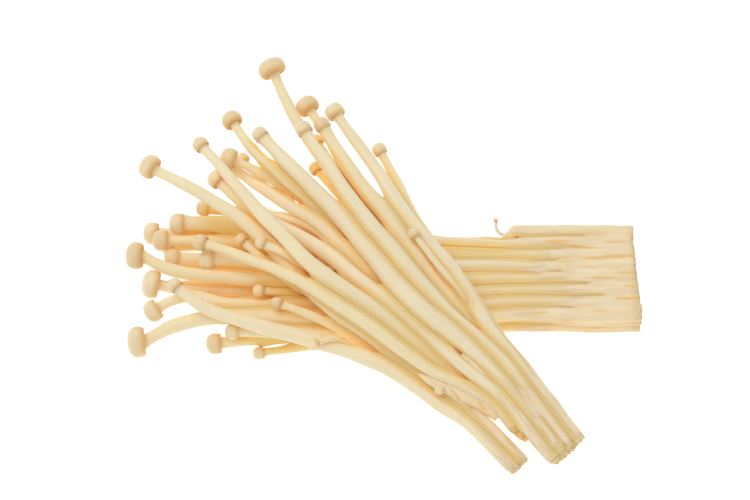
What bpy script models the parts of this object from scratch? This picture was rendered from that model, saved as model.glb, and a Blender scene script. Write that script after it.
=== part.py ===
"""A cut bunch of enoki mushrooms: one clump lies along X, and three leaner clumps lie across it.

Each mushroom grew as one piece, so its stem and cap are one solid, from the knife cut to the top of the cap.
Run it with: blender --background --python part.py
"""

import math

import bmesh
import bpy
import numpy as np
from mathutils import Vector

# Every size is in millimetres, and MM turns it to metres where an object is made.
MM = 0.001
BUNCH = "enoki_mushroom_bunch"

SIDES = 8  # of a stem's section in this plain model
SECTION_TURN = math.pi / SIDES  # puts a flat side of the section at the bottom
RING_SPACING = 11.0
ROUTE_POINTS = 40  # places along each mushroom where its neighbours push on it
CLEARANCE = 0.45  # open space that neighbours are eased towards
YIELDS = 0.45  # how readily a stem gives way to its neighbours, next to one in the row under it
PRESSED = 0.88  # a stem that lies on the table rests at this share of its radius

ROOT_SEAT = 0.45  # height of the lowest cut ends' centres, as a share of their width: the table presses them
NECK_SHARE = 0.86  # a stem's width under its cap, as a share of its width halfway up
RIPPLE_SHARE = 0.025  # how much a stem's width wanders from ring to ring

CAP_RINGS = (  # height as a share of the cap's height, radius as a share of the cap's radius
    (0.02, 0.80),
    (0.13, 0.95),
    (0.38, 1.00),
    (0.68, 0.84),
    (0.91, 0.50),
    (1.00, 0.20),
)
CAP_WIDEST = 0.38  # height of the widest ring, as a share of the cap's height
CAP_SLIM = 0.90  # height over width of a cap of CAP_SMALL across
CAP_SMALL = 3.0
CAP_FLATTENS = 0.06  # and how much flatter a cap gets for each millimetre wider

# How the routes are eased apart.
OVERSHOOT = 1.3  # how eagerly two bodies leave each other
EVENING = 0.35  # how much of a point's move is evened out with its neighbours' in a round
SMOOTH_ROUNDS = 380
LAST_ROUNDS = 80
LOOK_AGAIN = 12  # rounds between two looks at who is near whom

FLESH_ROUGHNESS = 0.45
FLESH_COLOURS = {
    "lower": (0.86, 0.71, 0.44, 1.0),
    "back": (0.86, 0.74, 0.50, 1.0),
    "middle": (0.84, 0.73, 0.50, 1.0),
    "front": (0.82, 0.71, 0.48, 1.0),
    "pin": (0.88, 0.75, 0.50, 1.0),
}


class Clump:
    """A row-and-column grid of cut stem ends, and the way that the stems leave it."""

    def __init__(self, end, away, across, tied, root, pitch, lift=2.9, stagger=0.5, slant=0.0):
        self.end = Vector(end)
        self.away = Vector(away).normalized()
        self.across = Vector(across).normalized()
        self.tied = tied
        self.root = root
        self.pitch = pitch
        self.lift = lift
        self.stagger = stagger
        self.slant = slant

    def start(self, row, column):
        """The first three stations of the stem in this place: they span the grown-together stretch."""
        aside = self.pitch * (column + self.stagger * (row % 2))
        up = Vector((0, 0, ROOT_SEAT * self.root + self.lift * row))
        cut = self.end + self.across * aside + up - self.away * (self.slant * aside)
        return [cut, cut + self.away * 0.5 * self.tied, cut + self.away * self.tied]


# Column 0 is the furthest back, and root is a stem's width where it was cut.
# The caps point left, and the cut ends point right.
LOWER = Clump(
    end=(69, 7.6, 0),
    away=(-1, 0, 0),
    across=(0, -1, 0),
    tied=38,
    root=2.9,
    pitch=3.7,
    lift=3.15,
    slant=0.06,
)
BACK = Clump(
    end=(52.1, -56.6, 0),
    away=(-0.60, 0.765, 0.17),
    across=(-0.787, -0.617, 0),
    tied=24,
    root=2.6,
    pitch=3.0,
    slant=0.13,
)
MIDDLE = Clump(
    end=(35.1, -53.3, 0),
    away=(-0.64, 0.77, 0.17),
    across=(-0.77, -0.64, 0),
    tied=12,
    root=2.7,
    pitch=3.1,
    lift=3.1,
    slant=-1.5,
)
FRONT = Clump(
    end=(38, -61.4, 0),
    away=(-0.67, 0.74, 0.11),
    across=(-0.747, -0.665, 0),
    tied=16,
    root=2.8,
    pitch=3.0,
    lift=3.0,
    stagger=0.25,
)

# Each line: row, column, stem width, cap width, then the route to the middle of the cap.
LOWER_MUSHROOMS = (
    (2, 0, 3.6, 4.4, (-15, 9, 9), (-37, 12.5, 9), (-50, 14.7, 9)),
    (2, 1, 4.7, 5.6, (-15, 4.8, 9), (-43, 8.7, 9), (-57, 9.3, 9)),
    (2, 2, 3.6, 5.8, (-15, 2, 9), (-51, 5, 8), (-61.5, 4.7, 8)),
    (2, 3, 4.4, 5.8, (-12, -5, 9), (-34, -4, 9), (-48.5, -3, 9)),
    (2, 4, 3.5, 7.6, (-12, -9, 9.5), (-51, -7.5, 10), (-60, -5, 10), (-68, -0.5, 10)),
    (2, 5, 3.4, 6.0, (-12, -15, 9), (-45, -15, 8), (-57, -13, 8), (-63, -17, 7)),
    (2, 6, 4.0, 8.5, (-12, -19, 9), (-50, -19.5, 8), (-58, -22, 7), (-66.8, -26.8, 6)),
    (2, 7, 3.2, 4.4, (-1, -22, 8), (-26, -23, 7), (-41, -22.5, 7)),
    (1, 0, 3.4, 6.0, (-15, 5, 5), (-51, 8, 5), (-64, 8.5, 5)),
    (1, 1, 3.0, 4.6, (-15, 3, 5), (-35, 2.5, 5), (-47, 2, 4.5)),
    (1, 2, 4.0, 5.3, (-15, -1, 5.5), (-50, 0.5, 6), (-58.5, 0, 7)),
    (1, 3, 2.6, 3.4, (0, -7, 6), (-23, -9.5, 9), (-34, -9.7, 10)),
    (1, 4, 3.6, 8.0, (-15, -10, 5.5), (-51, -9, 5.5), (-63.5, -7.5, 6)),
    (1, 5, 2.4, 2.9, (-6, -13, 6), (-31, -12, 6), (-49, -10.5, 6)),
    (1, 6, 3.4, 5.6, (-12, -20, 5), (-36, -24, 4), (-46, -25.5, 4)),
    (0, 0, 3.2, 5.0, (-10, 9, 1.5), (-31, 12, 1.5), (-39, 15, 2.5)),
    (0, 1, 3.2, 5.4, (-15, 5, 1.5), (-45, 12, 1.5), (-56, 13, 2.7)),
    (0, 2, 3.2, 3.8, (-15, 2, 1.5), (-36, 6, 1.5), (-50, 7, 1.6), (-60, 6, 2.1)),
    (0, 3, 3.3, 3.6, (-15, -2, 1.5), (-36, 0.5, 1.5), (-50, 0.5, 1.5), (-58, 0.3, 2.1)),
    (0, 4, 3.3, 3.6, (-15, -7, 1.5), (-38, -5.7, 1.5), (-50, -5.5, 1.6), (-59.5, -6.6, 2)),
    (0, 5, 3.4, 4.2, (-15, -12, 1.5), (-34, -13, 1.5), (-44, -13, 2.3)),
    (0, 6, 3.2, 4.0, (-15, -17, 1.5), (-30, -18.5, 1.5), (-38, -19, 2.2)),
    (0, 7, 2.6, 3.6, (-1, -22, 1.5), (-23, -25, 2), (-34, -26.7, 2)),
)
BACK_MUSHROOMS = (
    (
        1, -1, 3.0, 4.0,
        (29, -24.5, 11.5), (20, -10, 14), (10, 3.5, 17.5), (4, 15, 20.5), (-1, 25, 23),
    ),
    (
        2, 0, 3.8, 5.4,
        (28.5, -27, 14), (19.5, -12.5, 17.5), (9, 0.5, 20.5), (-0.5, 15.5, 23), (-13.5, 35.5, 26),
    ),
    (
        1, 0, 4.3, 4.4,
        (28, -30, 11.5), (14.5, -16.5, 16.5), (5.5, -2.5, 20.5), (-5.5, 12, 23.5), (-17, 30, 28),
    ),
    (
        2, 1, 4.2, 4.6,
        (30, -35, 13), (18, -24.5, 14), (11, -18.5, 17), (1.5, -6.5, 20.5), (-8.5, 7, 24),
        (-22, 28, 29),
    ),
    (0, 0, 3.2, 6.6, (10, -8, 13.5), (-11, 21.5, 21), (-21.5, 38.5, 24)),
    (
        0, 1, 3.6, 7.8,
        (6, -10, 13.5), (-7, 7, 17.5), (-15, 19.5, 21), (-23.5, 31.5, 24), (-31, 48.5, 28),
    ),
    (
        2, 2, 4.7, 4.3,
        (28, -37, 13), (16.5, -27, 16), (10, -21.5, 17.5), (-1.5, -8.5, 19), (-12, 5, 21.5),
        (-22, 14.5, 24.5), (-34, 27.5, 27),
    ),
    (
        2, 3, 3.9, 5.4,
        (25, -40, 12.5), (13.5, -29.5, 15), (2.5, -20, 17), (-8.5, -10.5, 17.5), (-21.5, 0, 17.5),
        (-35, 8, 18), (-46, 17.5, 20),
    ),
    (
        1, 2, 3.2, 5.6,
        (2.5, -9.5, 13.5), (-7.5, 0, 16), (-18, 8.5, 19), (-26.5, 15.2, 21.5), (-33.7, 21.5, 23),
        (-39, 27.9, 24.2), (-42, 33.5, 25),
    ),
    (
        0, 2, 3.2, 6.0,
        (-2.5, -6, 13), (-14.5, 6.5, 14.5), (-24, 14, 17.5), (-31.5, 18, 20), (-42.5, 23, 22),
    ),
    (
        1, 1, 3.5, 4.0,
        (1.5, -11, 13.5), (-8, -2.5, 16), (-16.5, 5.5, 17.5), (-26.5, 11.5, 18.5), (-35, 18, 18),
        (-42.5, 23.4, 16.2),
    ),
)
MIDDLE_MUSHROOMS = (
    (
        2, 0, 3.7, 4.6,
        (14.5, -38.5, 11), (0.5, -29, 14), (-14, -19.5, 16.5), (-27, -11, 17), (-50, -0.5, 16),
    ),
    (
        1, -1, 3.7, 4.3,
        (19, -38, 10.5), (10.5, -31.5, 13), (1.5, -24.5, 15.5), (-10.5, -17, 18.5),
        (-20, -10.5, 20.5), (-31.5, 2, 22.5), (-50.5, 25.5, 25),
    ),
    (
        0, -1, 3.4, 3.4,
        (10.5, -33, 9.5), (-3, -23, 13), (-14.5, -14.5, 15), (-26, -5.5, 16.5), (-33, -0.5, 17),
    ),
)
FRONT_MUSHROOMS = (
    (
        1, 0, 3.6, 6.8,
        (14.5, -40.5, 7), (3.5, -31.5, 9.5), (-10.5, -22, 13), (-23.5, -10, 13.5), (-33, 0, 16.5),
        (-41.5, 6.5, 20), (-64.5, 20, 22),
    ),
    (1, 1, 3.8, 4.0, (15, -44, 6.5), (3.5, -36, 9), (-23, -27, 12), (-47, -20, 13), (-57, -13, 14)),
    (0, 0, 3.0, 3.6, (-1.5, -28, 10), (-15, -17.5, 12.5), (-29, -6.5, 13), (-39, 1.5, 14)),
    (0, 1, 3.0, 3.4, (14, -43, 4), (-10, -25, 9), (-29, -18, 12)),
)
# A pin is a mushroom that stopped growing early: stem width, cap width, then its route from root to cap.
PINS = {
    "pin_over_front_clump": (1.9, 2.9, (23, -47.5, 7.5), (19.5, -44.3, 8.2), (16, -41, 9)),
    "pin_over_front_bend": (1.9, 3.0, (-7, -28, 11.5), (-12, -28.5, 12.5), (-18.4, -30, 13)),
    "pin_between_clumps": (2.0, 3.2, (1, -27, 12.5), (-6.5, -23.5, 13.5), (-14.3, -18.8, 14)),
    "pin_in_back_clump": (2.4, 3.2, (21, -21.5, 16.5), (14.5, -12, 19), (7.5, -2, 21.5)),
    "pin_under_middle_clump": (2.0, 3.6, (4, -26, 9), (-11, -16, 12.5), (-25, -6.5, 14)),
    "pin_beside_middle_clump": (2.0, 3.2, (9, -26, 10), (-1, -18, 13), (-14, -8, 14.5)),
    "pin_under_back_clump": (3.0, 3.8, (5.5, -5, 13), (-6, 10, 16), (-18.5, 30.4, 19)),
    "pin_in_back_fork": (3.0, 3.8, (1, -3, 13), (-9, 9.5, 15), (-18.8, 22.6, 17)),
    "pin_behind_back_clump": (
        3.0, 3.6,
        (-4.5, -8, 13.5), (-13.5, -1.5, 15.5), (-24, 6, 16), (-36, 11.2, 15.5),
    ),
    "pin_behind_middle_cap": (2.0, 3.6, (-24, 9, 14.5), (-31, 17, 15.5), (-39, 25.8, 17)),
    "curled_pin": (0.9, 1.2, (33.2, 5.2, 10.2), (32.6, 6.8, 10.5), (31.2, 9.4, 11.3)),
}


class Mushroom:
    """One mushroom: its name, its widths and the route of its middle line."""

    def __init__(self, name, stem_width, cap_width, stations, root, yields):
        self.name = name
        self.stem = stem_width / 2
        self.cap = cap_width / 2
        self.root = min(stem_width, root or stem_width) / 2
        self.cap_height = cap_width * (CAP_SLIM - CAP_FLATTENS * (cap_width - CAP_SMALL))
        self.route = even_curve(stations, ROUTE_POINTS)
        self.rooted = root is not None
        self.yields = yields

    def stem_radius(self, share):
        """The stem's radius at this share of its length: slim at the cut and the neck, full halfway."""
        grown = smooth_step((share - 0.15) / 0.35)
        thinned = smooth_step((share - 0.62) / 0.38)
        full = self.root + (self.stem - self.root) * grown
        return full + (NECK_SHARE * self.stem - full) * thinned


def all_mushrooms():
    """Every mushroom and pin, on the route that its clump and its line of numbers give it."""
    made = []
    for label, clump, lines in (
        ("lower", LOWER, LOWER_MUSHROOMS),
        ("back", BACK, BACK_MUSHROOMS),
        ("middle", MIDDLE, MIDDLE_MUSHROOMS),
        ("front", FRONT, FRONT_MUSHROOMS),
    ):
        for number, (row, column, stem, cap, *route) in enumerate(lines, 1):
            stations = clump.start(row, column) + route
            name = f"{label}_mushroom_{number:02d}"
            made.append(Mushroom(name, stem, cap, stations, clump.root, YIELDS**row))
    for name, (stem, cap, *route) in PINS.items():
        made.append(Mushroom(name, stem, cap, route, None, 1.0))
    return made


def smooth_step(value):
    """0 below 0, 1 above 1 and an even slope between."""
    value = np.clip(value, 0.0, 1.0)
    return value * value * (3 - 2 * value)


def even_curve(stations, count):
    """A natural cubic curve through the stations, as count points the same distance apart."""
    stations = np.array([tuple(s) for s in stations], float)
    steps = np.sqrt(np.linalg.norm(np.diff(stations, axis=0), axis=1))
    knots = np.concatenate([[0.0], np.cumsum(steps)])
    last = len(knots) - 1
    system = np.eye(last + 1)
    wanted = np.zeros((last + 1, 3))
    for i in range(1, last):
        before, after = steps[i - 1], steps[i]
        system[i, i - 1 : i + 2] = before, 2 * (before + after), after
        rise_before = (stations[i] - stations[i - 1]) / before
        rise_after = (stations[i + 1] - stations[i]) / after
        wanted[i] = 6 * (rise_after - rise_before)
    bend = np.linalg.solve(system, wanted)
    fine = np.linspace(0, knots[-1], 10 * count)
    span = np.clip(np.searchsorted(knots, fine, side="right") - 1, 0, last - 1)
    step = steps[span][:, None]
    a = (knots[span + 1] - fine)[:, None] / step
    b = 1 - a
    sag = ((a**3 - a) * bend[span] + (b**3 - b) * bend[span + 1]) * step**2 / 6
    return even_points(a * stations[span] + b * stations[span + 1] + sag, count)


def length_of(line):
    return np.linalg.norm(np.diff(line, axis=0), axis=1).sum()


def even_points(line, count):
    """Points the same distance apart along a line of many points."""
    lengths = np.linalg.norm(np.diff(line, axis=0), axis=1)
    along = np.concatenate([[0.0], np.cumsum(lengths)])
    wanted = np.linspace(0, along[-1], count)
    return np.stack([np.interp(wanted, along, line[:, k]) for k in range(3)], axis=1)


class Tangle:
    """All the routes as points. A round body lies along each step of a route, and a ball is each cap."""

    def __init__(self, mushrooms):
        count, n = len(mushrooms), ROUTE_POINTS
        share = np.linspace(0, 1, n)
        stems = np.stack([m.stem_radius(share) for m in mushrooms])
        caps = np.array([m.cap for m in mushrooms])
        first = (np.arange(count) * n)[:, None]
        self.rest = np.stack([m.route for m in mushrooms])
        self.points = self.rest.reshape(-1, 3).copy()
        self.starts = np.concatenate([(first + np.arange(n - 1)).ravel(), first.ravel() + n - 1])
        self.ends = np.concatenate([(first + np.arange(1, n)).ravel(), first.ravel() + n - 1])
        self.owner = np.concatenate([np.repeat(np.arange(count), n - 1), np.arange(count)])
        self.start_radius = np.concatenate([stems[:, :-1].ravel(), caps])
        self.end_radius = np.concatenate([stems[:, 1:].ravel(), caps])
        self.free = np.concatenate(
            [smooth_step((share - 0.04) / 0.2) if m.rooted else np.ones(n) for m in mushrooms]
        )
        self.yields = np.array([m.yields for m in mushrooms])
        self.floor = PRESSED * stems
        self.floor[:, -1] = caps
        self.least = 0.0

    def look_around(self):
        """Lists the pairs of bodies that are near enough to touch soon."""
        middle = (self.points[self.starts] + self.points[self.ends]) / 2
        reach = np.linalg.norm(self.points[self.ends] - self.points[self.starts], axis=1) / 2
        reach += np.maximum(self.start_radius, self.end_radius) + CLEARANCE
        apart = np.linalg.norm(middle[:, None] - middle[None], axis=2)
        near = apart < reach[:, None] + reach[None] + 1.0
        self.pairs = np.nonzero(near & (self.owner[:, None] < self.owner[None]))

    def push_apart(self):
        """Moves each pair of bodies that are too close out of each other, the readier one further."""
        one, two = self.pairs
        ends_one = self.points[self.starts[one]], self.points[self.ends[one]]
        ends_two = self.points[self.starts[two]], self.points[self.ends[two]]
        s, t = nearest_shares(*ends_one, *ends_two)
        gap = blend(*ends_one, s[:, None]) - blend(*ends_two, t[:, None])
        length = np.maximum(np.linalg.norm(gap, axis=1), 1e-6)
        touch = blend(self.start_radius[one], self.end_radius[one], s)
        touch += blend(self.start_radius[two], self.end_radius[two], t)
        self.least = (length - touch).min()
        close = length < touch + CLEARANCE
        push = gap * ((touch + CLEARANCE - length) * close / length)[:, None]
        give_one, give_two = self.yields[self.owner[one]], self.yields[self.owner[two]]
        push_one = push * (give_one / (give_one + give_two))[:, None]
        push_two = push_one - push
        index = np.concatenate(
            [self.starts[one], self.ends[one], self.starts[two], self.ends[two]]
        )
        part = np.concatenate([1 - s, s, 1 - t, t]) * np.tile(close, 4)
        way = np.concatenate([push_one, push_one, push_two, push_two]) * part[:, None]
        size = len(self.points)
        weight = np.maximum(np.bincount(index, part, size), 0.6)
        shift = np.stack([np.bincount(index, way[:, k], size) for k in range(3)], axis=1)
        self.points += OVERSHOOT * shift * (self.free / weight)[:, None]

    def settle(self, smooth):
        """Spreads the moves along each stem, if smooth is set, and keeps every stem on or above the table."""
        moved = self.points.reshape(self.rest.shape) - self.rest
        if smooth:
            between = (moved[:, :-2] + moved[:, 2:]) / 2
            moved[:, 1:-1] += EVENING * (between - moved[:, 1:-1])
        laid = self.rest + moved
        laid[..., 2] = np.maximum(laid[..., 2], self.floor)
        self.points = laid.reshape(-1, 3)


def nearest_shares(p1, q1, p2, q2):
    """How far along each pair of straight pieces, from p to q, their nearest points lie."""
    d1, d2, r = q1 - p1, q2 - p2, p1 - p2
    a = np.maximum((d1 * d1).sum(1), 1e-9)
    e = np.maximum((d2 * d2).sum(1), 1e-9)
    b, c, f = (d1 * d2).sum(1), (d1 * r).sum(1), (d2 * r).sum(1)
    s = np.clip((b * f - c * e) / np.maximum(a * e - b * b, 1e-9), 0, 1)
    t = np.clip((b * s + f) / e, 0, 1)
    s = np.clip((b * t - c) / a, 0, 1)
    return s, t


def blend(low, high, share):
    return low + (high - low) * share


def ease_apart(mushrooms):
    """Moves the routes off each other and off the table, as little and as smoothly as they allow."""
    tangle = Tangle(mushrooms)
    for turn in range(SMOOTH_ROUNDS + LAST_ROUNDS):
        if turn % LOOK_AGAIN == 0:
            tangle.look_around()
        tangle.push_apart()
        tangle.settle(smooth=turn < SMOOTH_ROUNDS)
    print(f"least space between neighbours: {tangle.least:.2f} mm")
    for mushroom, route in zip(mushrooms, tangle.points.reshape(tangle.rest.shape)):
        mushroom.route = route


def rings_of(mushroom):
    """The places and radii of one mushroom's rings, from the cut end to the top of its cap."""
    line = mushroom.route
    tip = line[-1] - line[-3]
    tip /= np.linalg.norm(tip)
    neck = line[-1] - tip * CAP_WIDEST * mushroom.cap_height
    count = 3 + round(length_of(line) / RING_SPACING)
    stem = even_points(np.vstack([line[:-1], neck]), count)
    ripple = 1 + RIPPLE_SHARE * np.sin(2.4 * np.arange(count) + line[0, 1])
    rings = list(zip(stem, mushroom.stem_radius(np.linspace(0, 1, count)) * ripple))
    for height, width in CAP_RINGS:
        rings.append((neck + tip * height * mushroom.cap_height, width * mushroom.cap))
    return rings


def swept_mushroom(mushroom, collection):
    """A bevelled curve whose radius draws the stem and then the cap, turned to a mesh."""
    rings = rings_of(mushroom)
    root = Vector(rings[0][0]) * MM
    curve = bpy.data.curves.new(mushroom.name, "CURVE")
    curve.dimensions = "3D"
    curve.twist_mode = "Z_UP"
    curve.bevel_depth = MM
    curve.bevel_resolution = (SIDES - 4) // 2
    curve.use_fill_caps = True
    spline = curve.splines.new("POLY")
    spline.points.add(len(rings) - 1)
    for point, (place, radius) in zip(spline.points, rings):
        point.co = (*(Vector(place) * MM - root), 1)
        point.radius = radius
        point.tilt = SECTION_TURN
    sweep = bpy.data.objects.new(mushroom.name + "_sweep", curve)
    collection.objects.link(sweep)
    sweep.location = root
    bpy.context.view_layer.update()
    graph = bpy.context.evaluated_depsgraph_get()
    mesh = bpy.data.meshes.new_from_object(sweep.evaluated_get(graph))
    solid = bpy.data.objects.new(mushroom.name, mesh)
    solid.matrix_world = sweep.matrix_world
    collection.objects.link(solid)
    bpy.data.objects.remove(sweep)
    press_on_table(mesh, root.z)
    return solid


def press_on_table(mesh, height):
    """Welds the end caps on, and flattens what would reach below the table, at this depth under the root."""
    form = bmesh.new()
    form.from_mesh(mesh)
    bmesh.ops.remove_doubles(form, verts=form.verts, dist=0.01 * MM)
    for vertex in form.verts:
        vertex.co.z = max(vertex.co.z, -height)
    bmesh.ops.recalc_face_normals(form, faces=form.faces)
    form.to_mesh(mesh)
    form.free()
    mesh.shade_smooth()


def flesh(label):
    """Pale, slightly moist mushroom flesh."""
    material = bpy.data.materials.new(label + "_flesh")
    material.use_nodes = True
    shader = material.node_tree.nodes["Principled BSDF"]
    shader.inputs["Base Color"].default_value = FLESH_COLOURS[label]
    shader.inputs["Roughness"].default_value = FLESH_ROUGHNESS
    shader.inputs["Metallic"].default_value = 0.0
    material.diffuse_color = FLESH_COLOURS[label]
    return material


def centre_on_origin(bunch, solids):
    """Moves the whole bunch so that the middle of its footprint, at table height, is the origin."""
    bpy.context.view_layer.update()
    corners = np.array([solid.matrix_world @ v.co for solid in solids for v in solid.data.vertices])
    low, high = corners.min(0), corners.max(0)
    bunch.location = (-(low[0] + high[0]) / 2, -(low[1] + high[1]) / 2, -low[2])


def main():
    for old in list(bpy.data.objects):
        bpy.data.objects.remove(old)
    collection = bpy.data.collections.new(BUNCH)
    bpy.context.scene.collection.children.link(collection)
    bunch = bpy.data.objects.new(BUNCH, None)
    collection.objects.link(bunch)
    materials = {label: flesh(label) for label in FLESH_COLOURS}
    mushrooms = all_mushrooms()
    ease_apart(mushrooms)
    solids = []
    for mushroom in mushrooms:
        solid = swept_mushroom(mushroom, collection)
        label = mushroom.name.split("_")[0] if mushroom.rooted else "pin"
        solid.data.materials.append(materials[label])
        solid.parent = bunch
        solids.append(solid)
    centre_on_origin(bunch, solids)


main()
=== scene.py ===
import math

import bmesh
import bpy
import numpy as np
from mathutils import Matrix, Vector, noise


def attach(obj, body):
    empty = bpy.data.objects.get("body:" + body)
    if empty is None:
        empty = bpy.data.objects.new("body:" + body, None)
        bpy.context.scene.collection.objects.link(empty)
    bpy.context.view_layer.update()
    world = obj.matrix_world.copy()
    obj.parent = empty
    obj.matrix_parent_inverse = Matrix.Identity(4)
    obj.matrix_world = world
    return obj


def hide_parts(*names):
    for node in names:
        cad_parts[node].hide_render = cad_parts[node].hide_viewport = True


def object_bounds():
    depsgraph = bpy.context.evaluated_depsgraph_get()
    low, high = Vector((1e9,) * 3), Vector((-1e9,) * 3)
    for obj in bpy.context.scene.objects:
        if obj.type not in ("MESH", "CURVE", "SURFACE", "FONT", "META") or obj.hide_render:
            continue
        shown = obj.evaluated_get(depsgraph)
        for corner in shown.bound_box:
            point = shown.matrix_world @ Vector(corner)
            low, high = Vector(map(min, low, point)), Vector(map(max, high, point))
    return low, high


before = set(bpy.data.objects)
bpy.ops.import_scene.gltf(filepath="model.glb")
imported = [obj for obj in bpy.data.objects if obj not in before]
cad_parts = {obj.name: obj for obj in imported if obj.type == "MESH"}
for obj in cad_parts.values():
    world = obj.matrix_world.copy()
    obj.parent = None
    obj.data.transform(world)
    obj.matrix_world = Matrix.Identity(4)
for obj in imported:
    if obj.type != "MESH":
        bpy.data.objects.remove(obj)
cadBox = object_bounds()
scene = bpy.context.scene
mm = 0.001
print("frame loaded:", len(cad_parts), "mushrooms")


def hexColour(code):
    # an sRGB hex value as the linear colour that a shader takes
    parts = [int(code[i:i + 2], 16) / 255 for i in (1, 3, 5)]
    linear = [p / 12.92 if p <= 0.04045 else ((p + 0.055) / 1.055) ** 2.4 for p in parts]
    return (*linear, 1.0)


def smoothStep(low, high, value):
    share = np.clip((value - low) / (high - low), 0, 1)
    return share * share * (3 - 2 * share)


def unit(vectors):
    vectors = np.asarray(vectors, float)
    return vectors / np.maximum(np.linalg.norm(vectors, axis=-1, keepdims=True), 1e-12)


def smoothLine(points, spacing, fewest=6):
    # a smooth line through the points, with a place every spacing along it, and how far along each place is
    steps = np.linalg.norm(np.diff(points[:, :3], axis=0), axis=1)
    reach = np.concatenate([[0], np.cumsum(steps)])
    lean = np.gradient(points, reach, axis=0)
    at = np.linspace(0, reach[-1], max(fewest, round(reach[-1] / spacing) + 1))
    span = np.clip(np.searchsorted(reach, at, side="right") - 1, 0, len(reach) - 2)
    width = (reach[span + 1] - reach[span])[:, None]
    t = (at - reach[span])[:, None] / width
    line = points[span] * (2 * t**3 - 3 * t**2 + 1) + lean[span] * width * (t**3 - 2 * t**2 + t)
    line += points[span + 1] * (3 * t**2 - 2 * t**3) + lean[span + 1] * width * (t**3 - t**2)
    return line, at


def sweepFrames(line):
    # directions ahead, aside and upward along a line, with no twist from place to place
    steps = unit(np.diff(line, axis=0))
    ahead = unit(np.vstack([steps[:1], steps[:-1] + steps[1:], steps[-1:]]))
    aside = np.empty_like(line)
    start = np.cross(ahead[0], (0, 0, 1))
    aside[0] = unit(start if np.linalg.norm(start) > 0.1 else np.cross(ahead[0], (0, 1, 0)))
    for i in range(1, len(line)):
        aside[i] = unit(aside[i - 1] - ahead[i] * np.dot(aside[i - 1], ahead[i]))
    return ahead, aside, np.cross(ahead, aside)


def circleRound(angle, aside, upward):
    # unit directions round each place of a line
    return np.cos(angle)[None, :, None] * aside[:, None] + np.sin(angle)[None, :, None] * upward[:, None]


def ringFaces(ringCount, segments):
    # quads from ring to ring, then a fan at each end round one added point
    faces = []
    for i in range(ringCount - 1):
        for k in range(segments):
            a, b = i * segments + k, i * segments + (k + 1) % segments
            faces.append((a, b, b + segments, a + segments))
    first, last, base = ringCount * segments, ringCount * segments + 1, (ringCount - 1) * segments
    for k in range(segments):
        faces.append((first, (k + 1) % segments, k))
        faces.append((last, base + k, base + (k + 1) % segments))
    return faces


def makePiece(name, points, faces, materials, finishOf=None):
    mesh = bpy.data.meshes.new(name)
    mesh.from_pydata(points.tolist(), [], faces)
    for material in materials:
        mesh.materials.append(material)
    if finishOf is not None:
        mesh.polygons.foreach_set("material_index", np.asarray(finishOf, np.int32))
    mesh.polygons.foreach_set("use_smooth", np.ones(len(mesh.polygons), bool))
    mesh.update()
    piece = bpy.data.objects.new(name, mesh)
    scene.collection.objects.link(piece)
    return piece


def addTraits(piece, traits):
    # numbers and vectors on each point, which the materials read; a single number is the same all over
    for name, values in traits.items():
        values = np.full(len(piece.data.vertices), values) if np.ndim(values) == 0 else values
        kind, field = ("FLOAT_VECTOR", "vector") if np.ndim(values) == 2 else ("FLOAT", "value")
        trait = piece.data.attributes.new(name, kind, "POINT")
        trait.data.foreach_set(field, np.ravel(values).astype(np.float32))


def gapTo(points, samples):
    # how far each point is from the skin of the nearest neighbour
    # a sample is a middle, a radius and a direction
    nothingNear, batch = 1.0, 2000  # metres, and points taken at a time
    halfStep = 0.7 * stemForm["spacing"]  # a little over half, so that samples meet
    found = np.full(len(points), nothingNear)
    if not len(samples):
        return found
    for i in range(0, len(points), batch):
        apart = points[i:i + batch, None] - samples[None, :, :3]
        straight = np.linalg.norm(apart, axis=2)
        nearest = (straight - samples[None, :, 3]).argmin(1)
        rows = np.arange(len(nearest))
        beside = (apart[rows, nearest] * samples[nearest, 4:7]).sum(1)
        beside = np.clip(beside, -halfStep, halfStep)
        found[i:i + batch] = np.sqrt(straight[rows, nearest] ** 2 - beside**2) - samples[nearest, 3]
    return found


def evened(points, edges, rounds, share=0.5):
    # each point drawn towards the middle of its neighbours, round after round
    count = np.bincount(edges.ravel(), minlength=len(points))
    for _ in range(rounds):
        total = np.zeros_like(points)
        for axis in range(3):
            total[:, axis] = np.bincount(edges[:, 0], points[edges[:, 1], axis], len(points))
            total[:, axis] += np.bincount(edges[:, 1], points[edges[:, 0], axis], len(points))
        points = points + share * (total / np.maximum(count, 1)[:, None] - points)
    return points


plainSolid = {"corners": 8, "capRings": 6}  # how the plain solids are made


def readRings(node):
    # walking outwards from the cut end, edge by edge, gives one ring of corners after another
    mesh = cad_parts[node].data
    corners = np.array([v.co for v in mesh.vertices])
    places, index = np.unique(np.round(corners, 7), axis=0, return_inverse=True)
    index = index.ravel()
    nextTo = [set() for _ in places]
    for edge in mesh.edges:
        a, b = index[edge.vertices[0]], index[edge.vertices[1]]
        nextTo[a].add(b)
        nextTo[b].add(a)
    cutCorner = np.argmax(np.linalg.norm(places - places.mean(0), axis=1))
    apart = np.linalg.norm(places - places[cutCorner], axis=1)
    ring = [int(i) for i in np.argsort(apart, kind="stable")[:plainSolid["corners"]]]
    rings, seen = [], set()
    while ring:
        rings.append(ring)
        seen.update(ring)
        ring = sorted({int(b) for a in ring for b in nextTo[a]} - seen)
    if any(len(ring) != plainSolid["corners"] for ring in rings):
        raise ValueError(f"{node} isn't made of rings: {[len(ring) for ring in rings]}")
    centres = np.array([places[ring].mean(0) for ring in rings])
    radii = [np.linalg.norm(places[ring] - centre, axis=1).max() for ring, centre in zip(rings, centres)]
    return np.column_stack([centres, radii])


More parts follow.
